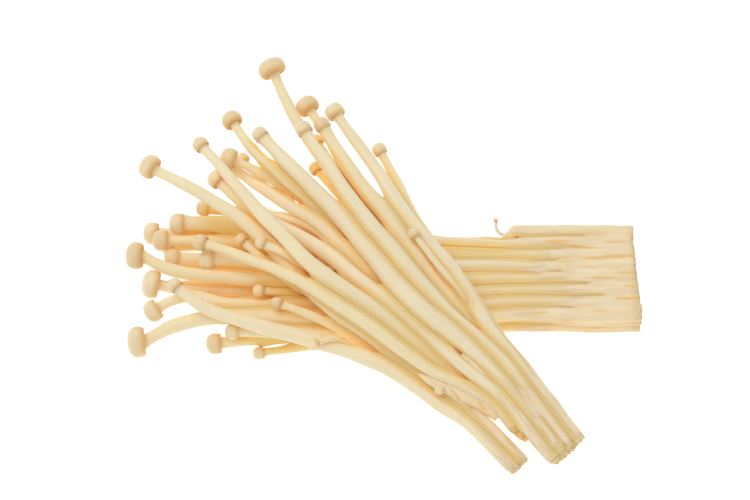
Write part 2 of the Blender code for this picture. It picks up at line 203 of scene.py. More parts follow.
def readMushroom(node):
    rings = readRings(node)
    stem, cap = rings[:-plainSolid["capRings"]], rings[-plainSolid["capRings"]:]
    axis = unit(cap[-1, :3] - cap[0, :3])
    return {
        "node": node,
        "clump": "pin" if "pin" in node else node.split("_")[0],
        "rings": stem,
        "capBase": cap[0, :3],
        "capAxis": axis,
        "capHeight": np.linalg.norm(cap[-1, :3] - cap[0, :3]),
        "capRadius": cap[:, 3].max(),
    }


mushrooms = [readMushroom(node) for node in sorted(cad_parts)]
print("rings read:", sum(len(m["rings"]) for m in mushrooms))


stemForm = {
    "spacing": 1.25 * mm,  # from ring to ring
    # how much plumper a stem is than its plain solid, so that neighbours nearly touch
    "plumper": {"lower": 1.09, "back": 1.12, "middle": 1.12, "front": 1.12, "pin": 0.92},
    # a stem thins to this share under its cap, over this length
    "neck": {
        "lower": (0.96, 14 * mm), "back": (0.84, 50 * mm), "middle": (0.80, 60 * mm),
        "front": (0.84, 60 * mm), "pin": (0.86, 20 * mm),
    },
    "neckBeyond": 0.2,  # share of the neck's length still to come where the stem ends
    "neckMost": 0.7,  # most of the stem's length that the neck may take
    "capSeat": 0.13,  # how deep the stem enters the cap, as a share of the cap's height
    "seatWidth": 1.05,  # how much wider the stem is there
    "heldAtCut": 18 * mm,  # over these lengths from its ends a stem doesn't stray
    "heldAtCap": 8 * mm,
    "wander": 0.14 * mm,  # how far the middle of a stem strays from a smooth line
    "wanderLength": (34 * mm, 15 * mm),  # a long wave and a short one
    "shortWander": 0.4,  # the short wave's height, as a share of the long one's
    "riseShare": 0.5,  # straying up and down, as a share of straying aside
    "riseLength": 0.8,  # share of the long wave's length
    "swelling": 0.018,  # share of the radius
    "swellingLength": (26 * mm, 11 * mm),
    "shortSwelling": 0.5,
    "swellingHeld": 0.3,  # share of the swelling that is left at the ends
    "undercut": {"front": 0.5, "middle": 0.3, "back": 0.15},  # how far a low cut end lies back, per mm down
    # stems that lie closer in beside the butt, the first because it snapped there: by how many mm, the share
    # of its width that is left, from where to where, and the lengths over which it moves and comes back
    "shifted": {
        "lower_mushroom_01": ((0, -2.8, -1.8), 0.4, 32 * mm, 70 * mm, 4 * mm, 12 * mm),
        "lower_mushroom_02": ((0, -1.3, -0.3), 0.92, 26 * mm, 66 * mm, 12 * mm, 16 * mm),
        "lower_mushroom_09": ((0, -1.5, -0.2), 0.92, 26 * mm, 66 * mm, 12 * mm, 16 * mm),
        "lower_mushroom_16": ((0, -1.4, 0), 0.92, 26 * mm, 66 * mm, 12 * mm, 16 * mm),
    },
    "bowed": {"curled_pin": (-0.9, -0.7, 0.1)},  # mm that the middle of a stem bends aside
    "pinSunk": 0.80,  # how deep a pin's foot lies in its neighbour, as a share of its width
    # how far the foot runs on, how near to its neighbour's middle it ends, and its width there
    "pinFoot": (2 * mm, 0.65, 0.6),
}


def rootAmong(mushroom, others):
    # a pin lies half sunk in the stem that it grew from, and its foot runs on into it
    rings = mushroom["rings"]
    sunk = []
    for i, ring in enumerate(rings):
        apart = np.linalg.norm(others[:, :3] - ring[:3], axis=1)
        near = others[np.argmin(apart - others[:, 3])]
        toNear = near[:3] - ring[:3]
        distance = np.linalg.norm(toNear)
        wanted = near[3] + ring[3] * (1 - 2 * stemForm["pinSunk"])
        share = 1 - i / (len(rings) - 1)
        sunk.append([*(ring[:3] + toNear / distance * max(0, distance - wanted) * share), ring[3]])
    footLength, inward, footWidth = stemForm["pinFoot"]
    away = unit(rings[1, :3] - rings[0, :3])
    tip = sunk[0][:3] - away * footLength
    near = others[np.argmin(np.linalg.norm(others[:, :3] - tip, axis=1)), :3]
    end = (1 - inward) * np.array(sunk[0][:3]) + inward * near - away * footLength
    mushroom["rings"] = np.vstack([[*end, rings[0, 3] * footWidth], sunk])


def waves(turn, lengths, shortShare, longPhase, shortPhase):
    return np.sin(turn / lengths[0] + longPhase) + shortShare * np.sin(turn / lengths[1] + shortPhase)


def runStem(mushroom, rng, trim):
    form, node = stemForm, mushroom["node"]
    rings = mushroom["rings"]
    seat = mushroom["capBase"] + mushroom["capAxis"] * mushroom["capHeight"] * form["capSeat"]
    rings = np.vstack([rings, [*seat, rings[-1, 3] * form["seatWidth"]]])
    line, along = smoothLine(rings, form["spacing"])
    line, along = line[along >= trim], along[along >= trim] - trim
    centre, radius = line[:, :3], line[:, 3] * form["plumper"][mushroom["clump"]]
    length = along[-1]
    neckShare, neckLength = form["neck"][mushroom["clump"]]
    neckEnd = min(neckLength, form["neckMost"] * length)
    necked = smoothStep(-form["neckBeyond"] * neckLength, neckEnd, length - along)
    radius = radius * (neckShare + (1 - neckShare) * necked)

    # each stem strays and swells in its own way; six draws, of which the waves use five
    free = smoothStep(0, form["heldAtCut"], along) * smoothStep(0, form["heldAtCap"], length - along)
    aside, upward = sweepFrames(centre)[1:]
    phase = rng.uniform(0, 2 * math.pi, 6)
    turn = along * 2 * math.pi
    stray = waves(turn, form["wanderLength"], form["shortWander"], phase[0], phase[1])
    rise = np.sin(turn / (form["wanderLength"][0] * form["riseLength"]) + phase[2])
    centre = centre + aside * (form["wander"] * stray * free)[:, None]
    centre = centre + upward * (form["riseShare"] * form["wander"] * rise * free)[:, None]
    swell = waves(turn, form["swellingLength"], form["shortSwelling"], phase[3], phase[4])
    held = form["swellingHeld"]
    radius = radius * (1 + form["swelling"] * swell * (held + (1 - held) * free))

    if node in form["bowed"]:
        centre = centre + np.array(form["bowed"][node]) * mm * np.sin(math.pi * along / length)[:, None]
    if node in form["shifted"]:
        move, width, begin, end, over, back = form["shifted"][node]
        there = smoothStep(begin, begin + over, along) * (1 - smoothStep(end - back, end, along))
        centre = centre + np.array(move) * mm * there[:, None]
        radius = radius * (1 - (1 - width) * there)
    mushroom["centre"], mushroom["radius"], mushroom["along"] = centre, radius, along
    mushroom["samples"] = np.column_stack([centre, radius, sweepFrames(centre)[0]])


grown = [m for m in mushrooms if m["clump"] != "pin"]
grownPlaces = np.vstack([smoothLine(m["rings"], 1 * mm)[0] for m in grown])
seeds = {"stems": 300, "butts": 700, "fibres": 900}
for number, mushroom in enumerate(mushrooms):
    mushroom["rng"] = np.random.default_rng(seeds["stems"] + number)
    if mushroom["clump"] == "pin" and mushroom["node"] != "curled_pin":
        rootAmong(mushroom, grownPlaces)
    highest = max(m["rings"][0, 2] for m in mushrooms if m["clump"] == mushroom["clump"])
    depth = highest - mushroom["rings"][0, 2]
    runStem(mushroom, mushroom["rng"], depth * stemForm["undercut"].get(mushroom["clump"], 0))
print("stems laid out")


# painted shade: stems that lie deep under others are painted golden, standing for the only light that
# reaches them, which has come through flesh
buriedShadeForm = {
    "cell": 1 * mm,
    "margin": 10,  # cells of empty table round the bunch
    "spread": 3,  # cells
    "depth": (4.5 * mm, 11 * mm),  # below the topmost stem, where it begins and where it is full
}


def mapSkyline():
    # the height of the topmost stem over each cell of the table, spread by about a stem's width
    samples = np.vstack([m["samples"] for m in mushrooms])
    cell, spread = buriedShadeForm["cell"], buriedShadeForm["spread"]
    margin = buriedShadeForm["margin"] * cell
    corner = samples[:, :2].min(0) - margin
    size = np.ceil((samples[:, :2].max(0) + margin - corner) / cell).astype(int)
    at = ((samples[:, :2] - corner) / cell).astype(int)
    top = np.zeros(size)
    np.maximum.at(top, (at[:, 0], at[:, 1]), samples[:, 2] + samples[:, 3])
    shifts = [(i, j) for i in range(-spread, spread + 1) for j in range(-spread, spread + 1)]
    shifts = [shift for shift in shifts if math.hypot(*shift) <= spread]
    top = np.max([np.roll(top, shift, axis=(0, 1)) for shift in shifts], axis=0)
    return corner, np.mean([np.roll(top, shift, axis=(0, 1)) for shift in shifts], axis=0)


skylineCorner, skyline = mapSkyline()


def buriedShadeShare(points):
    # read from the four cells round each point, so that it has no steps
    at = (points[:, :2] - skylineCorner) / buriedShadeForm["cell"] - 0.5
    at = np.clip(at, 0, np.array(skyline.shape) - 2)
    cell = at.astype(int)
    part = at - cell
    x, y = cell[:, 0], cell[:, 1]
    near = skyline[x, y] * (1 - part[:, 1]) + skyline[x, y + 1] * part[:, 1]
    far = skyline[x + 1, y] * (1 - part[:, 1]) + skyline[x + 1, y + 1] * part[:, 1]
    height = near * (1 - part[:, 0]) + far * part[:, 0]
    return smoothStep(*buriedShadeForm["depth"], height - points[:, 2])


def addNode(tree, kind, settings, links=None):
    # a setting is a socket's value, by its name or number, or one of the node's own properties
    node = tree.nodes.new("ShaderNode" + kind)
    for name, value in settings.items():
        if isinstance(name, int) or name in node.inputs:
            node.inputs[name].default_value = value
        else:
            setattr(node, name, value)
    for name, source in (links or {}).items():
        tree.links.new(source, node.inputs[name])
    return node


mixFactor, mixA, mixB, mixResult = 0, 6, 7, 2  # sockets of a colour mix


fleshForm = {
    "fibreDetail": 3.0,
    "fibreRoughness": 0.55,
    "fibreContrast": (0.32, 0.68),  # the part of the noise that is drawn out to full contrast
    "mottleDetail": 2.0,
    "mottleContrast": (0.35, 0.65),
    "bumpHeight": 0.15 * mm,
    "refraction": 1.38,  # mostly water
    "scatter": (1.0, 0.95, 0.45),  # red and green light goes further through the flesh than blue
    # a faint constant glow, painted light that lightens the crevices: it stands for light that went into the
    # flesh elsewhere and comes out everywhere, too little to tell outside the crevices
    "paintedGlowColour": "#FFF0B4",
    "paintedGlowStrength": 0.02,
}


# in each look below, pale and warm are the two ends of the streaks; over them lie grey mottling and then
# aged where a mushroom is old, then stains at the cut with painted shade under the cap, on the rim and
# between the gills, then painted shade in creases, seams and where stems touch, and painted shade where a
# stem lies deep under others, each up to its share
# fibreScale is streaks per mm, along the stem and then round it; mottleScale is patches per mm
def fleshMaterial(name, look):
    # enoki flesh is white, wet and see-through to a few millimetres; the amber in its crevices and the gold
    # deep in the pile are painted shade
    form = fleshForm
    material = bpy.data.materials.new(name)
    material.use_nodes = True
    tree = material.node_tree
    tree.nodes.clear()
    traits = ("grain", "creaseShade", "tone", "accent", "buriedShade")
    trait = {name: addNode(tree, "Attribute", {"attribute_name": name}) for name in traits}
    grain = trait["grain"].outputs["Vector"]

    # fibres: long streaks, drawn about three times as wide as real ones so that they show
    drawn = addNode(tree, "VectorMath", {"operation": "MULTIPLY", 1: look["fibreScale"]}, {0: grain})
    fibre = addNode(
        tree, "TexNoise", {"Scale": 1.0, "Detail": form["fibreDetail"], "Roughness": form["fibreRoughness"]},
        {"Vector": drawn.outputs[0]},
    )
    fibreShare = addNode(
        tree, "MapRange", {"From Min": form["fibreContrast"][0], "From Max": form["fibreContrast"][1]},
        {"Value": fibre.outputs["Fac"]},
    )
    mottle = addNode(
        tree, "TexNoise", {"Scale": look["mottleScale"], "Detail": form["mottleDetail"]}, {"Vector": grain}
    )
    mottleShare = addNode(
        tree, "MapRange", {"From Min": form["mottleContrast"][0], "From Max": form["mottleContrast"][1]},
        {"Value": mottle.outputs["Fac"]},
    )

    skin = addNode(
        tree, "Mix", {"data_type": "RGBA", mixA: hexColour(look["pale"]), mixB: hexColour(look["warm"])},
        {mixFactor: fibreShare.outputs["Result"]},
    )
    # painted shade: the last three layers darken the flesh under the cap and between the gills (with the
    # stains at the cut), in creases and where a stem is buried
    layers = {
        "grey": mottleShare.outputs["Result"],
        "aged": trait["tone"].outputs["Fac"],
        "accent": trait["accent"].outputs["Fac"],
        "amberShade": trait["creaseShade"].outputs["Fac"],
        "deepShade": trait["buriedShade"].outputs["Fac"],
    }
    for layer, amount in layers.items():
        colour, most = look[layer]
        share = addNode(tree, "MapRange", {"To Min": 0.0, "To Max": most}, {"Value": amount})
        skin = addNode(
            tree, "Mix", {"data_type": "RGBA", mixB: hexColour(colour)},
            {mixA: skin.outputs[mixResult], mixFactor: share.outputs["Result"]},
        )

    damp = addNode(
        tree, "MapRange", {"To Min": look["roughness"][0], "To Max": look["roughness"][1]},
        {"Value": fibreShare.outputs["Result"]},
    )
    bump = addNode(
        tree, "Bump", {"Strength": look["bump"], "Distance": form["bumpHeight"]},
        {"Height": fibre.outputs["Fac"]},
    )
    # the emission is painted light: a faint glow all over the flesh, which lightens its crevices
    shader = addNode(
        tree, "BsdfPrincipled",
        {
            "IOR": form["refraction"],
            "Subsurface Weight": look["glow"],
            "Subsurface Radius": form["scatter"],
            "Subsurface Scale": look["glowDepth"],
            "Specular IOR Level": look["shine"],
            "Emission Color": hexColour(form["paintedGlowColour"]),
            "Emission Strength": form["paintedGlowStrength"] * look["paintedGlowShare"],
        },
        {
            "Base Color": skin.outputs[mixResult],
            "Roughness": damp.outputs["Result"],
            "Normal": bump.outputs["Normal"],
        },
    )
    addNode(tree, "OutputMaterial", {}, {"Surface": shader.outputs["BSDF"]})
    return material


# grown in the dark and kept damp: smooth and milky, with fine streaks that run along the stem; tan at the
# cut foot is a stain, but tan under the cap, amber in creases and gold deep in the pile are painted shade
stemFlesh = fleshMaterial("enoki stem flesh, dark-grown, damp", {
    "pale": "#FEF0D4", "warm": "#FCE8C0",
    "grey": ("#F4E3C6", 0.5), "aged": ("#F8DFAA", 0.55),
    "accent": ("#D9A45E", 0.5), "amberShade": ("#FBD37C", 0.85),
    "deepShade": ("#FBD97C", 0.6), "paintedGlowShare": 1.0,
    "fibreScale": (0.05, 1.5, 1.5), "mottleScale": 0.09,
    "roughness": (0.45, 0.6), "bump": 0.35,
    "glow": 0.5, "glowDepth": 3.0 * mm, "shine": 0.4,
})

# the cap's skin is tighter and a little slicker than the stem's, and greyer on top
# its tan on the rim and on the down-facing side, and its amber where it touches others, are painted shade
capSkin = fleshMaterial("enoki cap skin, unopened button", {
    "pale": "#FCECCB", "warm": "#F9E3B8",
    "grey": ("#F0E0BC", 0.6), "aged": ("#E6C48B", 0.6),
    "accent": ("#E8B35C", 0.7), "amberShade": ("#F0B45C", 0.6),
    "deepShade": ("#FBD97C", 0.5), "paintedGlowShare": 1.0,
    "fibreScale": (0.5, 0.5, 0.5), "mottleScale": 0.25,
    "roughness": (0.36, 0.5), "bump": 0.15,
    "glow": 0.3, "glowDepth": 2.0 * mm, "shine": 0.45,
})

# the underside is painted tan all over: painted shade for the dark held between the thin radial plates,
# darker still between the gills
gillShadedFlesh = fleshMaterial("enoki gills, radial plates, painted shade", {
    "pale": "#F7DBA2", "warm": "#F2CB86",
    "grey": ("#EEC98C", 0.3), "aged": ("#D99F55", 0.4),
    "accent": ("#DBA55A", 0.8), "amberShade": ("#E6AE5E", 0.6),
    "deepShade": ("#EBB560", 0.5), "paintedGlowShare": 1.0,
    "fibreScale": (0.6, 0.6, 0.6), "mottleScale": 0.3,
    "roughness": (0.55, 0.7), "bump": 0.2,
    "glow": 0.3, "glowDepth": 1.5 * mm, "shine": 0.3,
})

# stems that grew into one mass: matt, streaked lengthwise, with dry white films and a tan stain near the
# cut; the amber in the seams, slits and under other clumps and the gold deep in the pile are painted shade,
# and the stronger faint glow is painted light
buttFlesh = fleshMaterial("enoki butt, grown-together stems", {
    "pale": "#FFF3DE", "warm": "#FADFAE",
    "grey": ("#F8E7C6", 0.6), "aged": ("#E8CB98", 0.5),
    "accent": ("#D8B07A", 0.8), "amberShade": ("#F6C36C", 0.9),
    "deepShade": ("#FBD480", 0.6), "paintedGlowShare": 2.4,
    "fibreScale": (0.06, 0.9, 0.9), "mottleScale": 0.11,
    "roughness": (0.5, 0.68), "bump": 0.5,
    "glow": 0.3, "glowDepth": 2.2 * mm, "shine": 0.35,
})

# where the knife went through: dry, rough, tan between the pale ends of the stems; its amber and gold are
# painted shade
cutFlesh = fleshMaterial("enoki butt, knife-cut face", {
    "pale": "#F5E2B8", "warm": "#EDD39C",
    "grey": ("#E6CB96", 0.5), "aged": ("#E2BF82", 0.4),
    "accent": ("#D7AB6B", 0.8), "amberShade": ("#E2B776", 0.5),
    "deepShade": ("#E6C088", 0.4), "paintedGlowShare": 1.0,
    "fibreScale": (1.6, 1.6, 1.6), "mottleScale": 0.35,
    "roughness": (0.65, 0.85), "bump": 0.5,
    "glow": 0.25, "glowDepth": 1.5 * mm, "shine": 0.25,
})
print("materials made")


mushroomForm = {
    "segments": 40,  # round the stem; even, because every other one is a gill
    "flattened": 0.055,  # how far a stem is from round, as a share of its radius
    "furrowed": 0.022,
    "fineFurrow": 0.5,  # the third furrow's depth, as a share of the second's
    "furrowTurn": 60 * mm,  # least length over which a furrow goes one radian round the stem
    "roundAtCap": 3 * mm,
    "foot": 0.1 * mm,  # how far the cut end bulges
    "lopsided": 0.035,  # how far a cap's rim is from round
    "rimWaves": (0.6, 0.5, 0.35),  # shares of that: once, twice and three times round
    "evenFrom": 0.99,  # share of the cap's height from which it is round
    "tilt": 0.10,  # most that a cap leans from its stem, as a slope
    "gillDepth": 0.03,  # as a share of the cap's radius
    "gillsTo": 0.9,  # share of the cap's radius where the gills run out
    "collar": 1.02,  # least width of a ring of the cap, as a share of the stem's
    "tuckedIn": 0.98,  # how far out the underside's rings lie at least, as a share of their own width
    "crown": 1.013,  # height of the cap's middle, as a share of its last ring's
    "footMark": (0.35, 14 * mm),  # how strongly the stem is marked at the cut, and how far
    "neckShade": (0.9, 1.6 * mm),  # painted shade under the cap: how strongly, and how far
    "gillShade": (0.9, 0.15),  # painted shade between the gills and on them
    # painted shade on the turned-under rim
    "rimShade": 0.9,
    "capSideShade": (0.8, 0.05, 0.42),  # painted shade on the cap's down-facing side, below its widest ring: how strongly, and the shares of the cap's height where it fades
    "grainSpread": 60,  # mm; each mushroom has its own place in the grain
    "pressReach": 1.1 * mm,  # stems that lie side by side closer than this press flat against each other
    "pressOver": (0.75, 1.25),  # shares of that reach over which the pressing fades
    "pressShare": 0.75,  # how much of the gap each one crosses, so that they meet and pass a little
    "pressLimits": (-0.3 * mm, 0.8 * mm),  # most that the skin moves in and out
    "pressFree": (4 * mm, 12 * mm),  # no pressing this near the cap, full pressing this far from it
    "pressSearch": 3 * mm,
    "seamOver": (0.6, 2.5),  # shares of the press reach over which painted shade darkens a seam
    "touchSearch": 4 * mm,
    "touch": (0.8, 1.4 * mm),  # painted shade where mushrooms touch: how dark it is, and how far that reaches
    "sideBySide": 0.93,  # least cosine between two stems that count as side by side
}

# caps that sit askew on their stems: added to the way that the cap faces
capTurns = {
    "lower_mushroom_05": (-0.1, -0.5, 0.0),
    "lower_mushroom_07": (-0.2, 0.35, 0.0),
}

# shares of the cap's radius and of its height, from the stem outwards under the cap, round and over it
capProfile = {
    "gill": ((0.10, 0.050), (0.30, 0.035), (0.50, 0.020), (0.64, 0.010)),
    "rim": ((0.75, 0.025), (0.84, 0.065), (0.91, 0.13)),
    "cap": (
        (0.96, 0.21), (0.99, 0.31), (1.00, 0.42), (0.985, 0.53), (0.945, 0.64), (0.88, 0.735),
        (0.79, 0.815), (0.68, 0.88), (0.54, 0.93), (0.39, 0.97), (0.23, 0.99), (0.08, 1.00),
    ),
}
capRings = [(width, height, kind) for kind, rings in capProfile.items() for width, height in rings]


def growMushroom(mushroom):
    rng, form = mushroom["rng"], mushroomForm
    segments = form["segments"]
    angle = np.arange(segments) * 2 * math.pi / segments
    centre, radius, along = mushroom["centre"], mushroom["radius"], mushroom["along"]
    capBase, capHeight, capRadius = mushroom["capBase"], mushroom["capHeight"], mushroom["capRadius"]
    fromCap = along[-1] - along
    ahead, aside, upward = sweepFrames(centre)

    # stem: a little flattened, with two or three shallow furrows that wander round it
    phase = rng.uniform(0, 2 * math.pi, 5)
    drift = rng.uniform(-1, 1, 3) / form["furrowTurn"]
    turns = [angle[None] - phase[i] - along[:, None] * drift[i] for i in range(3)]
    section = 1 + form["flattened"] * np.cos(2 * turns[0]) + form["furrowed"] * np.cos(3 * turns[1])
    section += form["fineFurrow"] * form["furrowed"] * np.cos(5 * turns[2])
    section = 1 + (section - 1) * smoothStep(0, form["roundAtCap"], fromCap)[:, None]
    rings = [centre[:, None] + (radius[:, None] * section)[..., None] * circleRound(angle, aside, upward)]
    stemRings = len(centre)

    # cap: its rim is uneven and it leans a little
    lean = aside[-1] * rng.uniform(-1, 1) + upward[-1] * rng.uniform(-1, 1)
    turned = np.array(capTurns.get(mushroom["node"], (0, 0, 0)))
    axis = unit(mushroom["capAxis"] + lean * form["tilt"] + turned)
    right = unit(aside[-1] - axis * np.dot(aside[-1], axis))
    front = np.cross(axis, right)
    outward = np.cos(angle)[:, None] * right + np.sin(angle)[:, None] * front
    once, twice, thrice = form["rimWaves"]
    wavy = np.cos(2 * angle - phase[4]) * twice + np.cos(3 * angle - phase[0]) * thrice
    uneven = 1 + form["lopsided"] * np.cos(angle - phase[3]) * once + form["lopsided"] * wavy
    neck = radius[-1] / capRadius
    groove = np.where(np.arange(segments) % 2, 1.0, -1.0)  # between two gills, and on one
    for width, height, kind in capRings:
        underneath = neck + (1 - neck) * width
        reach = underneath if kind == "gill" else max(width, neck * form["collar"])
        if kind != "cap":
            reach = max(reach, neck + (1 - neck) * width * form["tuckedIn"])
        unevenShare = smoothStep(neck, 1, reach) * (height < form["evenFrom"])
        out = reach * capRadius * (1 + (uneven - 1) * unevenShare)
        if kind == "cap" and width < neck:
            out = width * capRadius * np.ones(segments)
        rise = height * capHeight * np.ones(segments)
        if kind == "gill":
            strength = form["gillDepth"] * math.sin(math.pi * min(1, width / form["gillsTo"]))
            rise = rise + groove * strength * capRadius
        rings.append((capBase + out[:, None] * outward + rise[:, None] * axis)[None])
    rings = np.concatenate(rings)
    apex = capBase + axis * capHeight * form["crown"]
    foot = centre[0] - ahead[0] * form["foot"]
    points = np.vstack([rings.reshape(-1, 3), foot, apex])
    points[:, 2] = np.maximum(points[:, 2], 0)

    # traits: grain follows the stem, so streaks bend with it
    offset = rng.uniform(0, form["grainSpread"], 3)
    across = radius[:, None, None] * np.stack(np.broadcast_arrays(np.cos(angle), np.sin(angle)), axis=-1)
    lengthwise = np.broadcast_to(along[:, None, None], (stemRings, segments, 1))
    stemGrain = np.concatenate([lengthwise, across], axis=2)
    capGrain = rings[stemRings:] - capBase
    grain = np.vstack([stemGrain.reshape(-1, 3), capGrain.reshape(-1, 3), [[0, 0, 0]], [apex - capBase]])

    # stains and painted shade: a stain at the cut foot, and painted shade under the cap, between the gills,
    # on the rim and on the cap's down-facing side
    accent = np.zeros(len(points))
    footMark = form["footMark"][0] * (1 - smoothStep(0, form["footMark"][1], along))
    neckShade = form["neckShade"][0] * (1 - smoothStep(0, form["neckShade"][1], fromCap))
    accent[:stemRings * segments] = np.repeat(footMark + neckShade, segments)
    finish = [0] * ((stemRings - 1) * segments)
    for i, (width, height, kind) in enumerate(capRings):
        at = (stemRings + i) * segments
        if kind == "gill":
            accent[at:at + segments] = np.where(groove > 0, *form["gillShade"])
        elif kind == "rim":
            accent[at:at + segments] = form["rimShade"]
        else:
            strength, begin, end = form["capSideShade"]
            accent[at:at + segments] = strength * (1 - smoothStep(begin, end, height))
        finish += [2 if kind == "gill" else 1] * segments
    finish += [0, 1] * segments

    mushroom.update(
        points=points, faces=ringFaces(len(rings), segments), finish=finish, stemCount=stemRings * segments,
        grain=grain / mm + offset, accent=accent, tone=rng.uniform(0, 1) ** 1.5,
    )


for mushroom in mushrooms:
    growMushroom(mushroom)
print("mushrooms grown")


def samplesNear(mushroom, reach, besideOnly):
    # the stem places of other mushrooms that come within reach
    # all of them, or only those that lie side by side with this one
    own = mushroom["samples"][::2]
    kept = [np.empty((0, 7))]
    for other in mushrooms:
        if other is mushroom or (besideOnly and "pin" in (other["clump"], mushroom["clump"])):
            continue
        there = other["samples"]
        apart = np.linalg.norm(there[:, None, :3] - own[None, :, :3], axis=2) - own[None, :, 3]
        close = apart.min(1) - there[:, 3] < reach
        if besideOnly:
            nearest = apart.argmin(1)
            close &= np.abs((there[:, 4:7] * own[nearest, 4:7]).sum(1)) > mushroomForm["sideBySide"]
        kept.append(there[close])
    return np.vstack(kept)


def pressStem(mushroom):
    # soft stems that lie side by side are flat where they touch, and only a shallow seam shows between them
    form, count = mushroomForm, mushroom["stemCount"]
    beside = samplesNear(mushroom, form["pressSearch"], True)
    points = mushroom["points"][:count]
    gap = gapTo(points, beside)
    centre = np.repeat(mushroom["centre"], form["segments"], axis=0)
    outward = unit(points - centre)
    free = smoothStep(*form["pressFree"], mushroom["along"][-1] - mushroom["along"])
    begin, end = (share * form["pressReach"] for share in form["pressOver"])
    push = form["pressShare"] * gap * (1 - smoothStep(begin, end, gap))
    push = np.clip(push, *form["pressLimits"]) * np.repeat(free, form["segments"])
    pressed = mushroom["points"].copy()
    pressed[:count] = points + outward * push[:, None]
    pressed[:, 2] = np.maximum(pressed[:, 2], 0)
    # painted shade along the seam between stems pressed side by side
    begin, end = (share * form["pressReach"] for share in form["seamOver"])
    seamShade = np.zeros(len(pressed))
    seamShade[:count] = 1 - smoothStep(begin, end, gap)
    return pressed, seamShade


touchDark, touchReach = mushroomForm["touch"]
for mushroom in mushrooms:
    pressed, seamShade = pressStem(mushroom)
    touched = gapTo(mushroom["points"], samplesNear(mushroom, mushroomForm["touchSearch"], False))
    # painted shade in the seams and where mushrooms touch, and painted shade where a stem lies deep in the
    # pile
    creaseShade = np.maximum(seamShade, touchDark * (1 - smoothStep(0, touchReach, touched)))
    name = mushroom["node"] + "_flesh"
    finishes = [stemFlesh, capSkin, gillShadedFlesh]
    piece = makePiece(name, pressed, mushroom["faces"], finishes, mushroom["finish"])
    addTraits(piece, {
        "grain": mushroom["grain"], "creaseShade": creaseShade, "buriedShade": buriedShadeShare(pressed),
        "accent": mushroom["accent"], "tone": mushroom["tone"],
    })
    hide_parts(mushroom["node"])
    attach(piece, "root")
print("mushroom pieces made")


buttForm = {
    "voxel": 0.38 * mm,
    "evenRounds": 5,
    "segments": 18,
    "fewestInPiece": 400,  # vertices: anything smaller is a loose crumb
    "reachShare": (0.72, 1.1),  # of the clump's reach: where each stem comes free
    "freeFrom": 0.12,  # share of that length after which a stem thins to its own width
    "freeWidth": 0.86,  # its width there: it ends inside the mushroom's own stem
    "snapped": {},
    "swellShare": (0.95, 1.04),
    "raggedShare": (-0.6, 1.0),
    "webShare": (0.80, 0.99),  # of the stems' width: how far the seam between two is filled
    "webFade": 0.6,  # how much thinner a web is where it ends
    "webFadeFrom": 0.35,
    "webFewest": 6,  # places
    "filled": [],
    "stripBlunt": 0.05,  # how blunt the ends of a torn strip are
    "cutFacing": (0.45, 0.8),  # the skin is cut face where it faces the knife this squarely
    "cutDepth": (1.2 * mm, 2.5 * mm),
    "streak": 0.22 * mm,  # height of the lengthwise ridges on the fused skin
    "slitNoise": (0.30, 0.52),  # noise above the first number begins a slit, above the second is its floor
    "slitDepth": 0.14 * mm,
    "tornOver": 2.5 * mm,
    "tornShare": 0.6,
    "seamRounds": 14,
    "seamDepth": (0.03 * mm, 0.26 * mm),  # how far below its evened shape the skin is in a seam
    "seamAtCut": 0.4,  # share of a seam's painted shade that is left on the cut face
    "seamLeast": 0.45,  # the same where it is faintest, for it comes and goes
    "seamPatch": 0.15,  # noise from minus this to this, from faintest to full
    # painted shade in the slits
    "slitShade": 0.9,
    "shadowUnderOthers": (0.8, 1.3 * mm),  # painted shadow under another clump's stems: how dark it is, and how far that reaches
    "searchBeyond": 5 * mm,
    "stemEnd": (0.9 * mm, 2.0 * mm),  # pale this near the middle of a cut stem, tan this far from it
    "cutFrom": 0.3,  # how much a place has to be cut face for that
    "nearCutMark": 0.5,
    "toneLength": 6 * mm,
}
# what is a clump's own: reach is how far its stems are grown together, neighbour how near two have to lie
# for a web between them, and webReach the share of their length that it takes
buttForms = {
    "lower": {
        "reach": 50 * mm, "swell": 2.0 * mm, "ragged": 0.5 * mm, "webReach": (0.4, 0.95),
        "neighbour": 6.6 * mm, "snapped": {"lower_mushroom_01": 34 * mm},  # how far it is whole
    },
    "back": {
        "reach": 50 * mm, "swell": 1.55 * mm, "ragged": 1.2 * mm, "webReach": (0.8, 1.0),
        "neighbour": 6.0 * mm, "webShare": (0.90, 1.04),
        # torn strips of flesh beside a stem: which stem, mm from it, from where to where, how thick
        "filled": [
            ("back_mushroom_02", (-1.8, -1.3, -1.6), 48 * mm, 76 * mm, 1.3 * mm),
            ("back_mushroom_08", (1.1, 1.4, -1.3), 34 * mm, 58 * mm, 1.3 * mm),
        ],
    },
    "middle": {
        "reach": 26 * mm, "swell": 1.6 * mm, "ragged": 0.8 * mm, "webReach": (0.8, 1.0),
        "neighbour": 4.0 * mm,
        "filled": [
            ("middle_mushroom_01", (-1.7, -1.4, -1.3), 4 * mm, 31 * mm, 1.7 * mm),
            ("middle_mushroom_02", (1.2, 1.0, -0.6), 10 * mm, 40 * mm, 1.7 * mm),
        ],
    },
    "front": {
        "reach": 38 * mm, "swell": 1.65 * mm, "ragged": 0.7 * mm, "webReach": (0.7, 0.95),
        "neighbour": 6.4 * mm,
    },
}
# sizes of the noise in mm, along the clump and then across it
noiseSize = {"slit": (11, 1.1), "patch": (7, 2.5), "ridge": (9, 0.9), "fine": (4, 0.5)}
tornSize, fineTornSize = 0.8, 0.35


def noiseAt(place, kind, shift):
    along, wide = noiseSize[kind]
    return noise.noise([p / size + d for p, size, d in zip(place, (along, wide, wide), shift)])


def tubeMesh(centre, radius, segments):
    angle = np.arange(segments) * 2 * math.pi / segments
    aside, upward = sweepFrames(centre)[1:]
    rings = centre[:, None] + radius[:, None, None] * circleRound(angle, aside, upward)
    return np.vstack([rings.reshape(-1, 3), centre[0], centre[-1]]), ringFaces(len(centre), segments)


